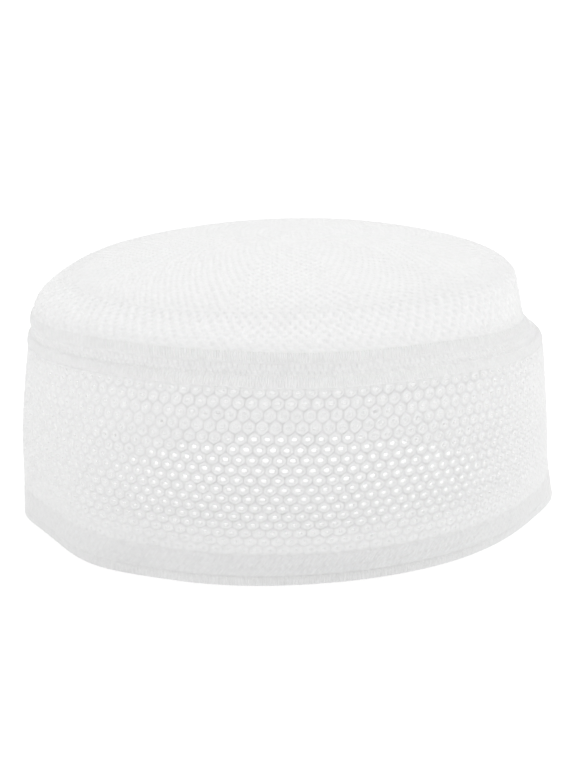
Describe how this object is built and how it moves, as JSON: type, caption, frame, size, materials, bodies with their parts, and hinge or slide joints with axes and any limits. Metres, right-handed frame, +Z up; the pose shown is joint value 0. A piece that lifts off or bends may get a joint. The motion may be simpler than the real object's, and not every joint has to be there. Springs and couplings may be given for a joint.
{
  "type": "knitted kufi cap",
  "caption": "Brimless knitted cap standing on its rim: hollow oval shell with a ribbed hem, net side, ribbed band with a channel, and a shallow domed crown",
  "frame": {"origin": "in the plane of the rim, under the middle of the cap's box", "axes": "+X along the long way of the oval, from back to front of the head; +Y across it; +Z up through the crown"},
  "size_m": [0.1924, 0.158, 0.0973],
  "materials": {
    "white_knit": "matt white fine cotton knit"
  },
  "bodies": {
    "root": {"knitted_cap": "white_knit"}
  },
  "joints": []
}
